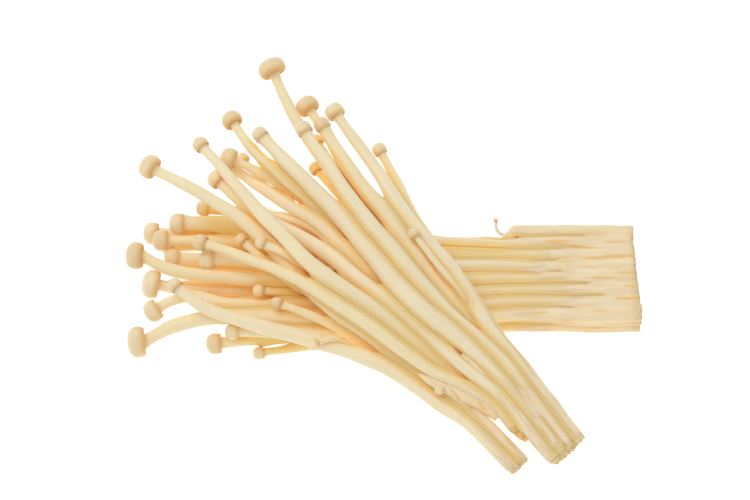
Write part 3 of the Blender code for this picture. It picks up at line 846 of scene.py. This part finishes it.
def joinTubes(tubes, segments):
    # one mesh of several tubes, each a line and its radius
    points, faces, start = [], [], 0
    for centre, radius in tubes:
        tubePoints, tubeFaces = tubeMesh(centre, radius, segments)
        points.append(tubePoints)
        faces += [tuple(k + start for k in face) for face in tubeFaces]
        start += len(tubePoints)
    return points, faces


def dropCrumbs(mesh, fewest):
    # fusing leaves a loose crumb here and there at the tip of a thin strip
    work = bmesh.new()
    work.from_mesh(mesh)
    unseen = set(work.verts)
    crumbs = []
    while unseen:
        island = [unseen.pop()]
        for vertex in island:
            for edge in vertex.link_edges:
                other = edge.other_vert(vertex)
                if other in unseen:
                    unseen.discard(other)
                    island.append(other)
        if len(island) < fewest:
            crumbs += island
    bmesh.ops.delete(work, geom=crumbs, context="VERTS")
    work.to_mesh(mesh)
    work.free()


def buttTubes(form, members, rng):
    tubes = []
    for mushroom in members:
        snapped = mushroom["node"] in form["snapped"]
        reach = form["reach"] * rng.uniform(*form["reachShare"])
        if snapped:
            reach = form["snapped"][mushroom["node"]]
        keep = mushroom["along"] <= reach
        centre, radius, along = mushroom["centre"][keep], mushroom["radius"][keep], mushroom["along"][keep]
        fade = smoothStep(form["freeFrom"], 1.0, along / along[-1])
        last = 1.0 if snapped else form["freeWidth"]
        swollen = form["swell"] * rng.uniform(*form["swellShare"])
        thick = swollen * (1 - fade) + last * radius * fade
        away = unit(centre[1] - centre[0])
        centre = centre.copy()
        centre[0] = centre[0] - away * rng.uniform(*form["raggedShare"]) * form["ragged"]
        tubes.append((centre, thick))

    # webs between neighbours
    for i, (first, firstThick) in enumerate(tubes[:len(members)]):
        for second, secondThick in tubes[i + 1:len(members)]:
            if np.linalg.norm(first[1] - second[1]) > form["neighbour"]:
                continue
            shared = min(len(first), len(second))
            last = max(form["webFewest"], int(shared * rng.uniform(*form["webReach"])))
            share = rng.uniform(*form["webShare"])
            thick = np.minimum(firstThick[:last], secondThick[:last]) * share
            fade = smoothStep(form["webFadeFrom"], 1.0, np.linspace(0, 1, last))
            tubes.append(((first[:last] + second[:last]) / 2, thick * (1 - form["webFade"] * fade)))

    for node, move, begin, end, thickest in form["filled"]:
        mushroom = next(m for m in members if m["node"] == node)
        keep = (mushroom["along"] >= begin) & (mushroom["along"] <= end)
        share = np.linspace(0, 1, keep.sum())
        thick = thickest * np.sqrt(np.clip(4 * share * (1 - share), form["stripBlunt"], 1))
        tubes.append((mushroom["centre"][keep] + np.array(move) * mm, thick))
    return tubes


def fuseButt(clump, number):
    form = buttForm | buttForms[clump]
    members = [m for m in mushrooms if m["clump"] == clump]
    tubes = buttTubes(form, members, np.random.default_rng(seeds["butts"] + number))
    points, faces = joinTubes(tubes, form["segments"])
    rough = makePiece(clump + "_rough", np.vstack(points), faces, [])
    remesh = rough.modifiers.new("grown together", "REMESH")
    remesh.mode = "VOXEL"
    remesh.voxel_size = form["voxel"]
    fused = bpy.data.meshes.new_from_object(rough.evaluated_get(bpy.context.evaluated_depsgraph_get()))
    bpy.data.objects.remove(rough)
    dropCrumbs(fused, form["fewestInPiece"])

    places = np.empty(len(fused.vertices) * 3)
    fused.vertices.foreach_get("co", places)
    edges = np.empty(len(fused.edges) * 2, np.int64)
    fused.edges.foreach_get("vertices", edges)
    edges = edges.reshape(-1, 2)
    places = evened(places.reshape(-1, 3), edges, form["evenRounds"])

    # directions of the clump: away from the cut, across it and up
    cutPlace = np.mean([m["centre"][0] for m in members], axis=0)
    away = unit(np.mean([unit(m["centre"][10] - m["centre"][0]) for m in members], axis=0))
    across = unit(np.cross(away, (0, 0, 1)))
    upward = np.cross(across, away)
    local = (places - cutPlace) @ np.column_stack([away, across, upward])

    fused.vertices.foreach_set("co", places.ravel())
    fused.update()
    normals = np.empty(len(places) * 3)
    fused.vertices.foreach_get("normal", normals)
    normals = normals.reshape(-1, 3)
    facing = smoothStep(*form["cutFacing"], -(normals @ away))
    cutShare = facing * (1 - smoothStep(*form["cutDepth"], local[:, 0]))

    # lengthwise ridges and short slits on the skin, and torn ends at the cut
    # the shifts keep the four butts and the kinds of noise apart
    lift, torn, slit, patch = (np.empty(len(places)) for _ in range(4))
    for i, place in enumerate(local / mm):
        slit[i] = noiseAt(place, "slit", (7 * number, 0, 50))
        patch[i] = noiseAt(place, "patch", (0, 5 * number, 31))
        lift[i] = noiseAt(place, "ridge", (3 * number, 0, 0)) + 0.5 * noiseAt(place, "fine", (0, 0, 9))
        v, w = place[1:]
        torn[i] = noise.noise((v / tornSize, w / tornSize, 5 + number))
        torn[i] += 0.6 * noise.noise((v / fineTornSize, w / fineTornSize, 2))
    slit = smoothStep(*form["slitNoise"], slit) * (1 - cutShare)
    raised = form["streak"] * lift * (1 - cutShare) - form["slitDepth"] * slit
    places = places + normals * raised[:, None]
    nearCut = 1 - smoothStep(0, form["tornOver"], local[:, 0])
    places = places - away * (form["ragged"] * form["tornShare"] * torn * nearCut)[:, None]
    places[:, 2] = np.maximum(places[:, 2], 0)

    # painted shade in the seams, which are where the skin lies below its own evened shape
    hollow = ((evened(places, edges, form["seamRounds"]) - places) * normals).sum(1)
    seamShade = smoothStep(*form["seamDepth"], hollow) * (1 - (1 - form["seamAtCut"]) * cutShare)
    least, edge = form["seamLeast"], form["seamPatch"]
    seamShade = seamShade * (least + (1 - least) * smoothStep(-edge, edge, patch))
    seamShade = np.maximum(seamShade, form["slitShade"] * slit)

    # painted shadow too where another clump lies on it
    outside = np.vstack([m["samples"] for m in mushrooms if m["clump"] not in (clump, "pin")])
    low, high = places.min(0) - form["searchBeyond"], places.max(0) + form["searchBeyond"]
    inReach = ((outside[:, :3] > low) & (outside[:, :3] < high)).all(1)
    dark, reach = form["shadowUnderOthers"]
    shadowUnderOthers = dark * (1 - smoothStep(0, reach, gapTo(places, outside[inReach])))
    stemEnds = np.array([m["centre"][0] for m in members])
    fromEnd = np.linalg.norm(places[:, None] - stemEnds[None], axis=2).min(1)
    between = smoothStep(*form["stemEnd"], fromEnd)

    faces = [tuple(p.vertices) for p in fused.polygons]
    cutOfFace = [int(cutShare[list(face)].mean() > 0.5) for face in faces]
    piece = makePiece(clump + "_butt", places, faces, [buttFlesh, cutFlesh], cutOfFace)
    bpy.data.meshes.remove(fused)
    addTraits(piece, {
        "grain": local / mm + 40 * number,
        "creaseShade": np.maximum(seamShade, shadowUnderOthers),
        "buriedShade": buriedShadeShare(places),
        "accent": np.where(cutShare > form["cutFrom"], between, form["nearCutMark"] * nearCut),
        "tone": np.array([0.5 + 0.5 * noise.noise(Vector(p) / form["toneLength"]) for p in places]),
    })
    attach(piece, "root")
    print(clump, "butt fused:", len(faces), "faces")
    return away, across, upward


cuts = {clump: fuseButt(clump, number) for number, clump in enumerate(buttForms)}


# loose fibres at the torn ends
fibreForm = {
    "count": {"lower": 8, "back": 8, "middle": 9, "front": 6},
    "length": (0.8 * mm, 2.6 * mm),
    "radius": (0.09 * mm, 0.2 * mm),
    "thinning": 0.8,  # share of its width that a fibre has lost at its tip
    "fromMiddle": (0.8, 1.9),  # mm from the middle of its stem
    "fromCut": (-0.5, 1.0),  # mm along the stem
    "splay": (0.1, 0.9),  # how far it points outwards, as a slope
    "curl": (0, 0.5),  # share of its length
    "places": 12,
    "segments": 8,
    "lift": 0.02 * mm,  # least height over the table
}


def makeFibres(clump, number):
    rng, form = np.random.default_rng(seeds["fibres"] + number), fibreForm
    away, across, upward = cuts[clump]
    members = [m for m in mushrooms if m["clump"] == clump]
    tubes, begins = [], []
    for _ in range(form["count"][clump]):
        member = members[rng.integers(len(members))]
        aside = rng.uniform(0, 2 * math.pi)
        out = across * math.cos(aside) + upward * math.sin(aside)
        begin = member["centre"][1] + out * rng.uniform(*form["fromMiddle"]) * mm
        begin = begin + away * rng.uniform(*form["fromCut"]) * mm
        heading = unit(-away + out * rng.uniform(*form["splay"]))
        curl = unit(np.cross(heading, rng.normal(size=3)))
        length = rng.uniform(*form["length"])
        share = np.linspace(0, 1, form["places"])[:, None]
        centre = begin + heading * share * length + curl * share**2 * length * rng.uniform(*form["curl"])
        tubes.append((centre, rng.uniform(*form["radius"]) * (1 - form["thinning"] * share[:, 0])))
        begins.append(begin)
    points, faces = joinTubes(tubes, form["segments"])
    for tube in points:
        tube[:, 2] = np.maximum(tube[:, 2], form["lift"])
    grain = np.vstack([(tube - begin) / mm for tube, begin in zip(points, begins)])
    piece = makePiece(clump + "_fibres", np.vstack(points), faces, [buttFlesh])
    # a little painted crease shade all over, no buried shade, and a tan stain
    addTraits(piece, {"grain": grain, "creaseShade": 0.15, "buriedShade": 0.0, "accent": 0.4, "tone": 0.5})
    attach(piece, "root")


for number, clump in enumerate(buttForms):
    makeFibres(clump, number)
print("fibres made")


studio = {
    "floorSize": 6.0,
    "floor": "#7C7B79",
    "floorLight": "#FFFFFF",
    "floorGlow": 0.9,
    "floorBelow": 0.05 * mm,  # so that the floor and the flattened undersides don't meet
    "sky": 0.60,
    "key": 4.8,
    "keySize": 0.9,
    "keyPlace": (-0.55, 0.35, 1.1),
    "fill": 1.0,
    "fillSize": 1.2,
    "fillPlace": (0.7, -0.9, 0.7),
}


def plainMaterial(name, colour, light, glow):
    material = bpy.data.materials.new(name)
    material.use_nodes = True
    shader = material.node_tree.nodes["Principled BSDF"]
    shader.inputs["Base Color"].default_value = hexColour(colour)
    shader.inputs["Roughness"].default_value = 0.9
    shader.inputs["Specular IOR Level"].default_value = 0.1
    shader.inputs["Emission Color"].default_value = hexColour(light)
    shader.inputs["Emission Strength"].default_value = glow
    return material


half = studio["floorSize"] / 2
corners = np.array([(-half, -half, 0), (half, -half, 0), (half, half, 0), (-half, half, 0)])
paper = plainMaterial("white seamless paper", studio["floor"], studio["floorLight"], studio["floorGlow"])
floor = makePiece("studio_floor", corners, [(0, 1, 2, 3)], [paper])
floor.location.z = cadBox[0].z - studio["floorBelow"]

world = bpy.data.worlds.new("white studio")
world.use_nodes = True
background = world.node_tree.nodes["Background"]
background.inputs["Color"].default_value = (1, 1, 1, 1)
background.inputs["Strength"].default_value = studio["sky"]
scene.world = world

middle = (cadBox[0] + cadBox[1]) / 2


def addSoftbox(name, place, size, power):
    lamp = bpy.data.lights.new(name, "AREA")
    lamp.shape = "DISK"
    lamp.size = size
    lamp.energy = power
    softbox = bpy.data.objects.new(name, lamp)
    scene.collection.objects.link(softbox)
    softbox.location = middle + Vector(place)
    softbox.rotation_euler = (middle - softbox.location).to_track_quat("-Z", "Y").to_euler()


addSoftbox("key softbox", studio["keyPlace"], studio["keySize"], studio["key"])
addSoftbox("fill softbox", studio["fillPlace"], studio["fillSize"], studio["fill"])

view = {
    "lookAt": (-2.1 * mm, 10.1 * mm, 5.0 * mm),  # from the middle of the bunch's footprint
    "elevation": math.radians(60),
    "distance": 0.87,
    "lens": 150,
    "sensor": 36,
    "nearest": 0.01,
}
camera = bpy.data.objects.new("camera", bpy.data.cameras.new("camera"))
scene.collection.objects.link(camera)
camera.data.lens = view["lens"]
camera.data.sensor_width = view["sensor"]
camera.data.clip_start = view["nearest"]
footprint = Vector((middle.x, middle.y, cadBox[0].z))
back = Vector((0, -math.cos(view["elevation"]), math.sin(view["elevation"])))
camera.location = footprint + Vector(view["lookAt"]) + back * view["distance"]
camera.rotation_euler = (math.pi / 2 - view["elevation"], 0, 0)
bpy.context.scene.camera = camera
scene.view_settings.view_transform = "Standard"
scene.cycles.diffuse_bounces = 12  # pale stems pass light on many times before it is lost
print("studio set")
